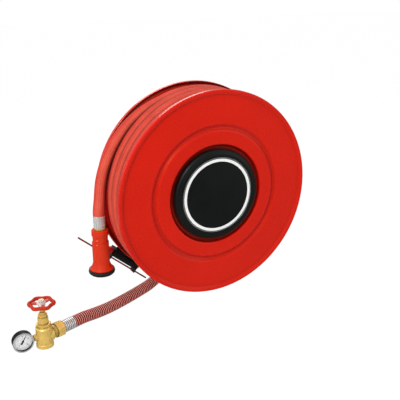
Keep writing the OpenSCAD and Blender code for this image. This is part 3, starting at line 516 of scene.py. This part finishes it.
def tail_rows(path):
    rows, done = [], 0.0
    for i, (p, t) in enumerate(zip(path, tangents(path))):
        done += (p - path[i - 1]).length if i else 0.0
        out = Vector((p.x, 0, max(p.z, 0.0)))
        press = max(0.0, 1 - done / PRESSED_FOR)
        rows.append(pressed_ring(p, t, out, press, HOSE_R - TAIL_PLAY))
    return rows


tail_path = smooth_path(tail_points(), TAIL_STEP)
hose_end = link("hose_end", to_mesh("hose_end", skin(tail_rows(tail_path))), [WEAVE], "frame",
                ["hose_tail"])

# ---------------------------------------------------------------- ribbed feed hose

ELBOW_Y = -40 * MM
FEED_R = 17.5 * MM
FEED_BORE = 13 * MM
FEED_SIDES = 36
BORE_SPANS = 60
RIBS = 97
RIB_DEPTH = 1.6 * MM
RIB_STEPS = 8
RIB_SHAPE = 0.8                   # below 1 the valleys are wider than the crests
RIB_SLOTS = (0, 0, 1, 2, 2, 1, 0, 0)        # valley in painted shade, flank, and crest with a painted highlight, round one wave
FEED_TO = Vector((VALVE_X, VALVE_Y - ELBOW_Y, 0)).normalized()
FEED_SIDE = Vector((-FEED_TO.y, FEED_TO.x, 0))
FEED_ROUTE = [(0, -98), (0, -118), (0, -138), (4, -190), (20, -241), (50, -284), (88, -316),
              (130, -335), (182, -344), (236, -350), (290, -353), (335, -351), (375, -347),
              (410, -347)]        # distance out, before scaling, and height, in millimetres
FEED_RUN = 443.015                # how far out the route really ends, in millimetres
FEED_SCALE = FEED_RUN / FEED_ROUTE[-1][0]
UPPER_LIFT, UPPER_FROM, UPPER_TO = 12, -300, -98    # raises the upper run to its ferrule
OUTER_LIFT, OUTER_TO = 4, 360                       # and the outer run to the valve
FEED_STEP = 2 * MM


def feed_point(d, z):
    upper = max(0.0, (z - UPPER_FROM) / (UPPER_TO - UPPER_FROM))
    lifted = z + UPPER_LIFT * upper + OUTER_LIFT * ease(d / OUTER_TO)
    return Vector((0, ELBOW_Y, lifted * MM)) + FEED_TO * (d * FEED_SCALE * MM)


def rib_radius(i):
    valley = 0.5 + 0.5 * math.cos(TAU * (i % RIB_STEPS) / RIB_STEPS)
    return FEED_R - RIB_DEPTH * valley ** RIB_SHAPE


def ribbed_hose(path):
    """A corrugated hose with its bore: crests and valleys follow a rounded wave."""
    outer_path = even_path(path, RIBS * RIB_STEPS)
    radii = [rib_radius(i) for i in range(len(outer_path))]
    inner_path = even_path(path, BORE_SPANS)
    inner = sweep(inner_path, [FEED_BORE] * len(inner_path), FEED_SIDES, FEED_SIDE)
    return sweep(outer_path, radii, FEED_SIDES, FEED_SIDE) + inner[::-1]


feed_path = smooth_path([feed_point(d, z) for d, z in FEED_ROUTE], FEED_STEP)
feed_mesh = to_mesh("feed_hose_ribbed", skin(ribbed_hose(feed_path), loop=True), 80.0)
feed = link("feed_hose_ribbed", feed_mesh, [VALLEY_SHADE, RIB_FLANK, CREST_HIGHLIGHT], "frame",
            ["feed_hose"])
for index, polygon in enumerate(feed_mesh.polygons):
    ring = index // FEED_SIDES
    if ring < RIBS * RIB_STEPS:
        polygon.material_index = RIB_SLOTS[ring % RIB_STEPS]

# ---------------------------------------------------------------- wound hose

# Places along the turns are in degrees clockwise from COUNT_FROM and grow from turn to turn.
COUNT_FROM = 176.0
LEAVE_ANGLE = 112.0               # direction in which the hanging end leaves the turns
FIRST_STEP = 266.0                # middle of the first step over to the next lane
STEP_SPAN = 60.0                  # degrees that a step over takes
FRONT_END = 1290.0                # where the front turn ends
DIP_FROM, DIP_SPAN = FRONT_END - 4, 28      # there it goes down to the layer below
DIP_DEPTH = 34 * MM
WIND_EVERY = 2.5                  # degrees between the rings


def lane_at(back):
    steps = sum(ease((back - FIRST_STEP - 360 * m) / STEP_SPAN + 0.5) for m in range(LANES - 1))
    return LANE_REAR - LANE_PITCH * steps


def wound_path():
    """The outer layer from the rear lane to the front one, where it dips to the layer below."""
    made = []
    back = COUNT_FROM - LEAVE_ANGLE
    while back <= DIP_FROM + DIP_SPAN:
        angle = math.radians(COUNT_FROM - back)
        r = WIND_R - DIP_DEPTH * ease((back - DIP_FROM) / DIP_SPAN)
        y = lane_at(min(back, FRONT_END))
        made.append(Vector((r * math.cos(angle), y, r * math.sin(angle))))
        back += WIND_EVERY
    return made


def wound_rows(path):
    return [pressed_ring(p, t, Vector((p.x, 0, p.z)), 1.0) for p, t in zip(path, tangents(path))]


link("hose_turns", to_mesh("hose_turns", skin(wound_rows(wound_path()))), [WEAVE], "drum",
     ["hose_winding"])

INNER_SIDES = 160
# Middle radius and lanes of each layer
INNER_LAYERS = [(243 * MM, [LANE_FRONT + LANE_PITCH * (n + 0.5) for n in range(LANES - 1)]),
                (213.5 * MM, [LANE_FRONT + LANE_PITCH * n for n in range(LANES)])]
INNER_RISE = 0.97                 # their turns are this much flatter than round
INNER_FLOOR = 215 * MM            # lowest level of the valleys between the turns
INNER_STEPS = 96
INNER_MARGIN = 8 * MM             # the layers keep this far from the rims
CHEEK_R = 214 * MM
CHEEK = [(111, 19.5), (142, 19.5), (152, 13.5), (212, 13.5)]    # radius, distance from the rim


def inner_layers_outline():
    """The layers below as one turned body whose outside shows the turns of the next two layers."""
    low, high = FRONT_RIM + INNER_MARGIN, REAR_RIM - INNER_MARGIN
    outline = [(r * MM, FRONT_RIM + inward * MM) for r, inward in CHEEK] + [(CHEEK_R, low)]
    for i in range(INNER_STEPS + 1):
        y = low + (high - low) * i / INNER_STEPS
        tops = [r + INNER_RISE * math.sqrt(max(0.0, HOSE_R**2 - (y - lane)**2))
                for r, lanes in INNER_LAYERS for lane in lanes if abs(y - lane) <= HOSE_R]
        outline.append((max(tops + [INNER_FLOOR]), y))
    rear = [(r * MM, REAR_RIM - inward * MM) for r, inward in reversed(CHEEK)]
    return outline + [(CHEEK_R, high)] + rear


inner_layers = lathe(inner_layers_outline(), facing((0, 0, 0), (0, 1, 0)), INNER_SIDES)
link("hose_inner_layers", to_mesh("hose_inner_layers", inner_layers), [WEAVE], "drum",
     ["hose_core"])

# ---------------------------------------------------------------- cap lines

LINE_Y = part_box("hub_cap")[0].y + 1.2 * MM      # the floor of the cap's recess
LINE_WIDE, LINE_PROUD, LINE_SUNK = 0.7 * MM, 0.25 * MM, 0.2 * MM
LINE_SIDES = 192
LINES = {"cap_line_inner": 108.5 * MM, "cap_line_outer": 109.9 * MM}       # inner radii

for name, r in LINES.items():
    section = [(r, LINE_SUNK), (r + LINE_WIDE, LINE_SUNK),
               (r + LINE_WIDE, -LINE_PROUD), (r, -LINE_PROUD)]
    line = lathe(section, facing((0, LINE_Y, 0), (0, 1, 0)), LINE_SIDES)
    link(name, to_mesh(name, line), [GREY_PRINT], "drum")

# ---------------------------------------------------------------- nozzle marks

DOT_R, DOT_RISE, DOT_SUNK = 1.5 * MM, 0.7 * MM, 0.6 * MM
DOT_TIP = 0.05 * MM               # radius of the hole through its middle
DOT_SIDES = 20
DOT_AZIMUTH = math.radians(44)    # to the left of straight ahead
DOT_WAY = Vector((-math.sin(DOT_AZIMUTH), -math.cos(DOT_AZIMUTH), 0))
NOZZLE_X, NOZZLE_Y = TAIL_X, LANE_REAR - TAIL_LEAN


def index_dot(name, r, z, body):
    """A small raised dot on the side of the nozzle, whose radius is r at the height z."""
    place = facing(Vector((NOZZLE_X, NOZZLE_Y, z)) + DOT_WAY * (r - DOT_SUNK), DOT_WAY)
    dome = [(DOT_R * math.cos(math.radians(a)), DOT_SUNK + DOT_RISE * math.sin(math.radians(a)))
            for a in range(0, 90, 15)]
    rows = [(DOT_R, 0.0)] + dome + [(DOT_TIP, DOT_SUNK + DOT_RISE), (DOT_TIP, 0.0)]
    link(name, to_mesh(name, lathe(rows, place, DOT_SIDES)), [MARK], body)


index_dot("mark_fixed", 21.6 * MM, -113.5 * MM, "frame")
index_dot("mark_turning", 23.9 * MM, -126.0 * MM, "nozzle_head")

# ---------------------------------------------------------------- gauge scale

dial_low, dial_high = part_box("gauge_dial")
DIAL_MID = Vector((GAUGE_X, dial_low.y, GAUGE_Z))
DIAL_R = (dial_high.x - dial_low.x) / 2
SCALE_FROM, SCALE_SWEEP = -135, 270     # degrees clockwise from the top
SCALE_MAX = 16
SCALE_EVERY = 4                   # divisions between the numbers
INK_SUNK, INK_PROUD = 0.1 * MM, 0.12 * MM
TICK_EDGE = 0.9                   # shares of the dial's radius
LONG_TICK, SHORT_TICK = (0.14, 0.5 * MM), (0.07, 0.25 * MM)     # length share, half width
NUMBER_SIZE, NUMBER_AT = 6.0 * MM, 0.58


def clock(angle):
    """Direction on the dial, degrees clockwise from the top as seen from the front."""
    return Vector((math.sin(math.radians(angle)), 0, math.cos(math.radians(angle))))


def scale_angle(value):
    return SCALE_FROM + SCALE_SWEEP * value / SCALE_MAX


def dial_ticks():
    made = bmesh.new()
    for value in range(SCALE_MAX + 1):
        out, side = clock(scale_angle(value)), clock(scale_angle(value) + 90)
        long, half = SHORT_TICK if value % SCALE_EVERY else LONG_TICK
        far, near = DIAL_R * TICK_EDGE, DIAL_R * (TICK_EDGE - long)
        points = [made.verts.new(DIAL_MID + out * r + side * half * s + Vector((0, y, 0)))
                  for y in (INK_SUNK, -INK_PROUD)
                  for r, s in ((near, -1), (near, 1), (far, 1), (far, -1))]
        made.faces.new(points[:4])
        made.faces.new(points[:3:-1])
        for k in range(4):
            m = (k + 1) % 4
            made.faces.new((points[k], points[m], points[4 + m], points[4 + k]))
    return made


link("dial_ticks", to_mesh("dial_ticks", dial_ticks()), [INK], "frame")
for value in range(0, SCALE_MAX + 1, SCALE_EVERY):
    curve = bpy.data.curves.new("dial_number_%d" % value, "FONT")
    curve.body = str(value)
    curve.size = NUMBER_SIZE
    curve.extrude = INK_PROUD
    curve.align_x = "CENTER"
    curve.align_y = "CENTER"
    number = link(curve.name, curve, [INK], "frame")
    number.location = DIAL_MID + clock(scale_angle(value)) * DIAL_R * NUMBER_AT
    number.rotation_euler = (math.pi / 2, 0, 0)

# ---------------------------------------------------------------- CAD pieces that keep their shape

FINISHES = {
    PAINT: ["wall_plate", "bracket", "front_flange", "rear_flange", "drum_core"],
    AXLE: ["axle", "hub_body"],
    STEEL: ["axle_screws", "axle_washer", "axle_circlip", "tie_bolts", "tie_nuts",
            "feed_ferrule_top", "feed_ferrule_end", "roller_pin"],
    CRIMPED: ["hose_ferrule"],
    BRASS: ["inlet_elbow", "hub_outlet", "union_tail", "union_nut", "valve_body", "valve_bonnet",
            "gland_nut", "valve_disc", "valve_stem", "gauge_stub", "nozzle_tail"],
    BUSH: ["bush_front", "bush_rear"],
    RUBBER: ["hub_seals", "nozzle_seal", "union_gasket", "disc_washer", "nozzle_bumper"],
    PACKING: ["gland_packing"],
    CAP_BLACK: ["hub_cap", "guide_roller"],
    PRINT: ["cap_ring"],
    NOZZLE_RED: ["nozzle_body", "nozzle_barrel"],
    BLACK_STEEL: ["guide_arm"],
    ROD: ["guide_rod"],
    BALL: ["roller_ball"],
    WHEEL: ["handwheel"],
    WHEEL_NUT: ["wheel_nut"],
    GAUGE_BLACK: ["gauge_case"],
    BEZEL: ["gauge_bezel"],
    DIAL: ["gauge_dial"],
    INK: ["gauge_needle"],
    GLASS: ["gauge_lens"],
}
for material, names in FINISHES.items():
    for name in names:
        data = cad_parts[name].data
        data.materials.clear()
        data.materials.append(material)

# ---------------------------------------------------------------- light


def light(name, place, target, size, power):
    """A square area lamp, size metres wide and power in watts."""
    data = bpy.data.lights.new(name, "AREA")
    data.shape = "RECTANGLE"
    data.size = data.size_y = size
    data.energy = power
    obj = bpy.data.objects.new(name, data)
    obj.location = place
    obj.rotation_mode = "QUATERNION"
    obj.rotation_quaternion = (Vector(target) - Vector(place)).to_track_quat("-Z", "Y")
    bpy.context.scene.collection.objects.link(obj)


light("key", (-2.6, -2.4, 2.6), (-0.1, -0.2, 0), 1.6, 88)
light("fill", (2.6, -2.6, 0.8), (0, -0.2, 0), 2.2, 9)
light("back", (0.6, 2.6, 2.2), (0, 0, 0), 2.0, 35)

# ---------------------------------------------------------------- background


def studio_world():
    """Plain white to the camera; to the object a dome, brighter from above and from the left."""
    world = bpy.data.worlds.new("studio")
    world.use_nodes = True
    tree = world.node_tree
    rays = tree.nodes.new("ShaderNodeLightPath").outputs
    seen = maths(tree, "MAXIMUM", rays["Is Camera Ray"], rays["Is Transmission Ray"])
    way = components(tree, tree.nodes.new("ShaderNodeTexCoord").outputs["Generated"])
    upward = grade(tree, way["Z"], 0.3, 0.75, -0.6, 0.9)
    sideways = grade(tree, way["X"], 1.45, 0.45, -1.0, 1.0)
    level = tree.nodes.new("ShaderNodeMix")
    level.data_type = "FLOAT"
    dome = maths(tree, "MULTIPLY", upward, sideways)
    for socket, value in (("Factor", seen), ("A", dome), ("B", 1.0)):
        put(tree, level.inputs[socket], value)
    background = tree.nodes["Background"]
    background.inputs["Color"].default_value = WHITE
    tree.links.new(level.outputs["Result"], background.inputs["Strength"])
    return world


def floor_look():
    """A pale floor that keeps the shadow, nearly white to the camera and grey to glossy rays."""
    material, tree, bsdf = new_material("pale_floor")
    coords = tree.nodes.new("ShaderNodeTexCoord").outputs["Object"]
    tone = ramp(tree, noise(tree, coords, 3.0), grey(0.86), grey(0.9))
    tree.links.new(tone, bsdf.inputs["Base Color"])
    settle(bsdf, Roughness=0.9)
    rays = tree.nodes.new("ShaderNodeLightPath").outputs
    white = add(tree, "ShaderNodeEmission", Strength=1.03).outputs[0]
    dim = add(tree, "ShaderNodeEmission", Strength=0.22).outputs[0]
    to_camera = maths(tree, "MULTIPLY", rays["Is Camera Ray"], 0.92)
    direct = mix_shaders(tree, to_camera, bsdf.outputs[0], white)
    mirrored = mix_shaders(tree, rays["Is Glossy Ray"], direct, dim)
    tree.links.new(mirrored, tree.nodes["Material Output"].inputs["Surface"])
    return material


FLOOR_Z = -0.62
FLOOR_HALF = 14.0

bpy.context.scene.world = studio_world()
floor_mesh = bmesh.new()
bmesh.ops.create_grid(floor_mesh, x_segments=1, y_segments=1, size=FLOOR_HALF)
floor = bpy.data.objects.new("floor", bpy.data.meshes.new("floor"))
floor_mesh.to_mesh(floor.data)
floor_mesh.free()
floor.location = (0, 0, FLOOR_Z)
bpy.context.scene.collection.objects.link(floor)
floor.data.materials.append(floor_look())

bpy.context.scene.view_settings.view_transform = "Standard"
